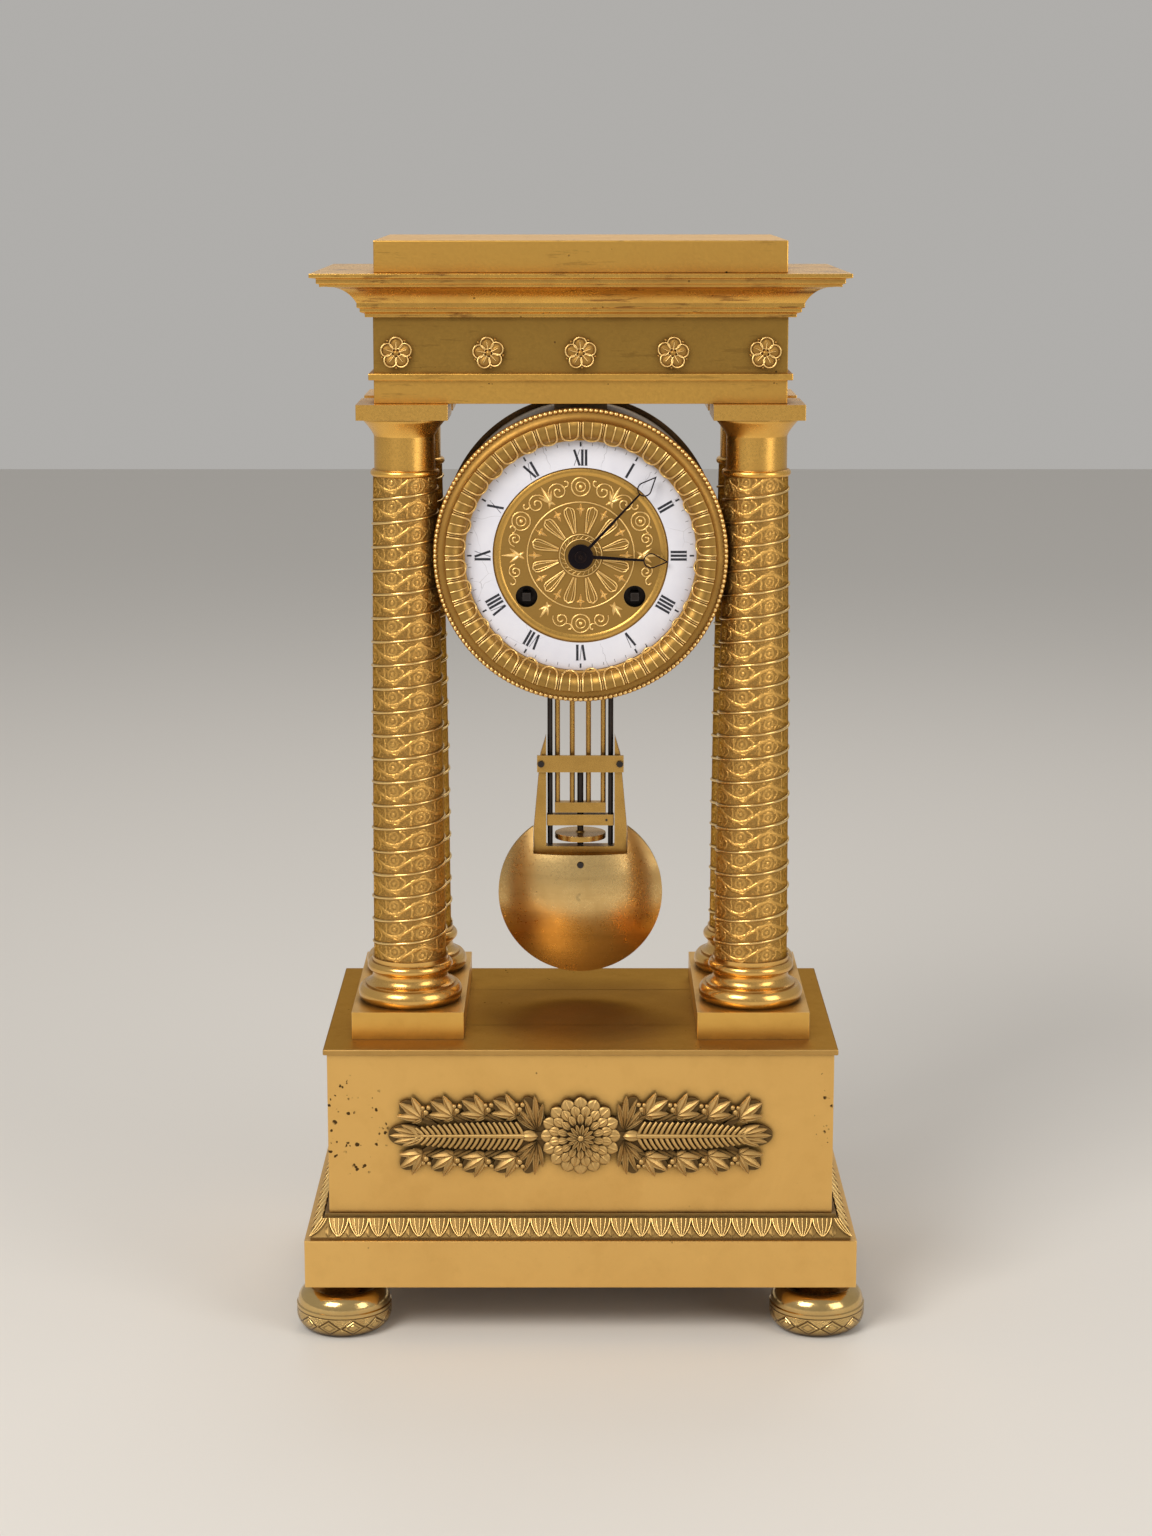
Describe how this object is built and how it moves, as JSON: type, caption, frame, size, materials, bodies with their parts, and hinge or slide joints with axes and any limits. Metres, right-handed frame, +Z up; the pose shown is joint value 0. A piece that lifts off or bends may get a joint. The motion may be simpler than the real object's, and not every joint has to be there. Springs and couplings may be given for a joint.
{
  "type": "portico clock",
  "caption": "Gilt brass portico clock: footed base box, columns and entablature around a drum with an enamel dial, gridiron pendulum, striking train and bell.",
  "frame": {"origin": "centre of the footprint, on the surface that the feet stand on", "axes": "+Z up, the dial faces -Y, +X to the right of someone facing the dial"},
  "size_m": [0.2662, 0.1664, 0.5019],
  "materials": {
    "satin_gilt": "satin gilding, warm gold with small dark pits",
    "polished_gilt": "polished gilding, browner in the hollows",
    "cast_gilt": "chased and matted gilding with brown in the ground",
    "aged_gilt": "olive gold, rubbed brown at edges",
    "patinated_brass": "dark brown patina",
    "movement_brass": "lacquered, grained",
    "pendulum_brass": "brushed, lightly tarnished",
    "bell_bronze": "turned bell metal",
    "dark_steel": "dark, oiled",
    "blued_steel": "blued almost black",
    "enamel": "cool white glossy enamel with hairlines",
    "oak": "bare oak, stained by age"
  },
  "bodies": {
    "case": {"feet": "polished_gilt", "plinth": "satin_gilt", "base_board": "oak", "leaf_moulding": "satin_gilt", "base_box": "satin_gilt", "base_top_plate": "satin_gilt", "base_mount": "cast_gilt", "column_plinths": "satin_gilt", "column_bases": "polished_gilt", "column_shaft_front_left": "cast_gilt", "column_shaft_front_right": "cast_gilt", "column_shaft_rear_left": "cast_gilt", "column_shaft_rear_right": "cast_gilt", "column_capitals": "polished_gilt", "tie_rods": "dark_steel", "architrave": "aged_gilt", "frieze": "aged_gilt", "cornice": "aged_gilt", "top_block": "aged_gilt", "frieze_rosettes": "cast_gilt", "drum": "patinated_brass", "drum_saddle": "patinated_brass", "bezel": "polished_gilt", "dial_plate": "movement_brass", "dial_ring": "enamel", "dial_centre": "cast_gilt", "front_plate": "movement_brass", "back_plate": "movement_brass", "pillars": "movement_brass", "rear_ring": "patinated_brass", "hinge_pin": "dark_steel", "bell": "bell_bronze", "bell_stand": "dark_steel", "suspension_cock": "movement_brass"},
    "minute_work": {"minute_hand": "blued_steel", "cannon_pinion": "dark_steel"},
    "hour_work": {"hour_hand": "blued_steel", "hour_wheel": "movement_brass"},
    "minute_wheel": {"minute_wheel": "movement_brass"},
    "centre_wheel": {"centre_wheel": "movement_brass"},
    "intermediate_wheel": {"intermediate_wheel": "movement_brass"},
    "third_wheel": {"third_wheel": "movement_brass"},
    "escape_wheel": {"escape_wheel": "movement_brass"},
    "going_barrel": {"going_barrel": "movement_brass"},
    "going_arbor": {"going_winding_arbor": "dark_steel"},
    "strike_barrel": {"strike_barrel": "movement_brass"},
    "strike_arbor": {"strike_winding_arbor": "dark_steel"},
    "count_wheel": {"count_wheel": "movement_brass"},
    "pin_wheel": {"pin_wheel": "movement_brass"},
    "hammer": {"hammer": "dark_steel"},
    "pallets": {"pallets": "dark_steel"},
    "pendulum": {"suspension_spring": "dark_steel", "grid_bars": "pendulum_brass", "steel_rods": "dark_steel", "brass_rods": "pendulum_brass", "bob_stirrup": "pendulum_brass", "stirrup_bar": "pendulum_brass", "bob": "pendulum_brass"},
    "rating_nut": {"rating_nut": "pendulum_brass"},
    "rear_door": {"rear_door": "patinated_brass"}
  },
  "joints": [
    {"name": "minute_hand_turn", "type": "hinge", "parent": "case", "child": "minute_work", "pos_m": [0, -0.007, 0.3605], "axis": [0, 1, 0], "continuous": true},
    {"name": "hour_hand_turn", "type": "hinge", "parent": "case", "child": "hour_work", "pos_m": [0, -0.007, 0.3605], "axis": [0, 1, 0], "continuous": true},
    {"name": "minute_wheel_turn", "type": "hinge", "parent": "case", "child": "minute_wheel", "pos_m": [0.005, -0.007, 0.36916], "axis": [0, 1, 0], "continuous": true},
    {"name": "escape_wheel_turn", "type": "hinge", "parent": "case", "child": "escape_wheel", "pos_m": [0, -0.007, 0.3865], "axis": [0, 1, 0], "continuous": true},
    {"name": "third_wheel_turn", "type": "hinge", "parent": "case", "child": "third_wheel", "pos_m": [-0.00536, -0.007, 0.37411], "axis": [0, 1, 0], "continuous": true},
    {"name": "centre_wheel_turn", "type": "hinge", "parent": "case", "child": "centre_wheel", "pos_m": [0, -0.007, 0.3605], "axis": [0, 1, 0], "continuous": true},
    {"name": "intermediate_wheel_turn", "type": "hinge", "parent": "case", "child": "intermediate_wheel", "pos_m": [0.01498, -0.007, 0.36121], "axis": [0, 1, 0], "continuous": true},
    {"name": "going_barrel_turn", "type": "hinge", "parent": "case", "child": "going_barrel", "pos_m": [0.0246, -0.007, 0.3417], "axis": [0, 1, 0], "continuous": true},
    {"name": "going_winding", "type": "hinge", "parent": "case", "child": "going_arbor", "pos_m": [0.0246, -0.007, 0.3417], "axis": [0, 1, 0], "continuous": true},
    {"name": "pin_wheel_turn", "type": "hinge", "parent": "case", "child": "pin_wheel", "pos_m": [-0.02171, -0.007, 0.37689], "axis": [0, 1, 0], "continuous": true},
    {"name": "count_wheel_turn", "type": "hinge", "parent": "case", "child": "count_wheel", "pos_m": [-0.03204, -0.007, 0.36214], "axis": [0, 1, 0], "continuous": true},
    {"name": "strike_barrel_turn", "type": "hinge", "parent": "case", "child": "strike_barrel", "pos_m": [-0.0246, -0.007, 0.3417], "axis": [0, 1, 0], "continuous": true},
    {"name": "strike_winding", "type": "hinge", "parent": "case", "child": "strike_arbor", "pos_m": [-0.0246, -0.007, 0.3417], "axis": [0, 1, 0], "continuous": true},
    {"name": "hammer_swing", "type": "hinge", "parent": "case", "child": "hammer", "pos_m": [-0.045, -0.007, 0.3765], "axis": [0, 1, 0], "range_deg": [-3.5, 18]},
    {"name": "pallets_rock", "type": "hinge", "parent": "case", "child": "pallets", "pos_m": [0, 0.0182, 0.399], "axis": [0, 1, 0], "range_deg": [-4.5, 4.5]},
    {"name": "pendulum_swing", "type": "hinge", "parent": "case", "child": "pendulum", "pos_m": [0, 0.024, 0.399], "axis": [0, 1, 0], "range_deg": [-4, 4]},
    {"name": "rating_nut_turn", "type": "hinge", "parent": "pendulum", "child": "rating_nut", "pos_m": [0, 0.024, 0.2167], "axis": [0, 0, 1], "continuous": true},
    {"name": "rear_door_open", "type": "hinge", "parent": "case", "child": "rear_door", "pos_m": [-0.061, 0.0521, 0.3605], "axis": [0, 0, 1], "range_deg": [0, 110]}
  ],
  "couplings": [
    {"joint": "hour_hand_turn", "follows": "minute_hand_turn", "ratio": 0.083333},
    {"joint": "minute_wheel_turn", "follows": "minute_hand_turn", "ratio": -0.33333},
    {"joint": "third_wheel_turn", "follows": "escape_wheel_turn", "ratio": -0.2},
    {"joint": "centre_wheel_turn", "follows": "escape_wheel_turn", "ratio": 0.04375},
    {"joint": "intermediate_wheel_turn", "follows": "escape_wheel_turn", "ratio": -0.010937},
    {"joint": "going_barrel_turn", "follows": "escape_wheel_turn", "ratio": 0.00175},
    {"joint": "count_wheel_turn", "follows": "pin_wheel_turn", "ratio": -0.11111},
    {"joint": "strike_barrel_turn", "follows": "pin_wheel_turn", "ratio": 0.017778},
    {"joint": "pallets_rock", "follows": "pendulum_swing", "ratio": 1}
  ]
}
